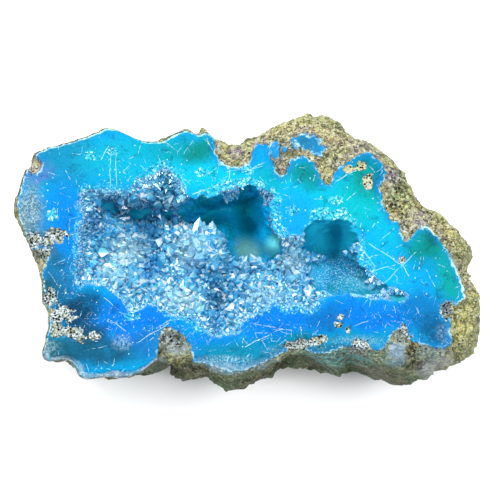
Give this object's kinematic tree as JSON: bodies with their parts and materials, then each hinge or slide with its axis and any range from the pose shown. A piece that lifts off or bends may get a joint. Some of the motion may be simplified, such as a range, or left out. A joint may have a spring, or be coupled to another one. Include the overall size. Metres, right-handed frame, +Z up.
{
  "type": "aura quartz geode half",
  "caption": "Cut half of a drusy quartz geode with a blue aura coating: rough rind, flat chalcedony face and an open hollow lined with small crystals.",
  "frame": {"origin": "on the resting surface, below the middle of the stone's box", "axes": "+X along the stone's length, +Y across the cut face towards the edge that overhangs the cave, +Z up out of the cut face"},
  "size_m": [0.1031, 0.0598, 0.034],
  "materials": {
    "rind_rock": "matte",
    "coated_chalcedony": "gloss",
    "coated_quartz": "polished"
  },
  "bodies": {
    "root": {"rind": "rind_rock", "chalcedony": "coated_chalcedony", "crystal_crust": "coated_quartz"}
  },
  "joints": []
}
